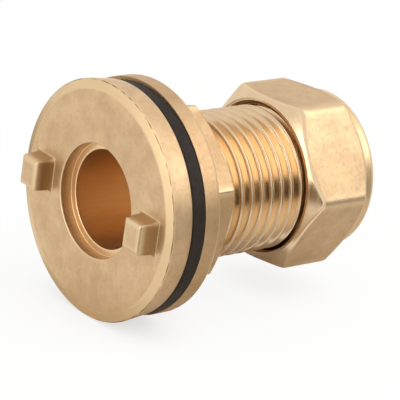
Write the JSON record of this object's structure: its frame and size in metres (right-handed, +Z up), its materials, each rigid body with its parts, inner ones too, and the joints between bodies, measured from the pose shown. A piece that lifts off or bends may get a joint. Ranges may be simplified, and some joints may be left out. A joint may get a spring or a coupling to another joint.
{
  "type": "tank connector",
  "caption": "Brass tank connector: lugged round flange, rubber washer and flanged back nut clamp a tank wall on the threaded shank; compression nut and olive grip a copper pipe.",
  "frame": {"origin": "on the fitting's axis, in the plane of the flange's rear face, which seals towards the tank wall", "axes": "+X along the fitting's axis from the flange to the compression nut, level as installed in an upright wall; +Z up; the wrench lugs stand on the flange's -X face"},
  "size_m": [0.0445, 0.0338, 0.0338],
  "materials": {
    "body_brass": "forged satin flange, bright turned thread",
    "nut_brass": "forged satin",
    "olive_brass": "turned",
    "washer_rubber": "matt"
  },
  "bodies": {
    "connector_body": {"flanged_body": "body_brass"},
    "washer": {"sealing_washer": "washer_rubber"},
    "back_nut": {"back_nut": "nut_brass"},
    "olive": {"olive": "olive_brass"},
    "compression_nut": {"compression_nut": "nut_brass"}
  },
  "joints": [
    {"name": "washer_slide", "type": "slide", "parent": "connector_body", "child": "washer", "axis": [1, 0, 0], "range_m": [0, 0.01391]},
    {"name": "back_nut_turn", "type": "hinge", "parent": "washer", "child": "back_nut", "pos_m": [0.006, 0, 0], "axis": [1, 0, 0], "range_deg": [0, 2760]},
    {"name": "olive_slide", "type": "slide", "parent": "connector_body", "child": "olive", "axis": [1, 0, 0], "range_m": [0, 0.0059]},
    {"name": "compression_nut_turn", "type": "hinge", "parent": "olive", "child": "compression_nut", "pos_m": [0.032, 0, 0], "axis": [1, 0, 0], "range_deg": [0, 1170]}
  ],
  "couplings": [
    {"joint": "washer_slide", "follows": "back_nut_turn", "m_per_rad": 0.00028871},
    {"joint": "olive_slide", "follows": "compression_nut_turn", "m_per_rad": 0.00028871}
  ]
}
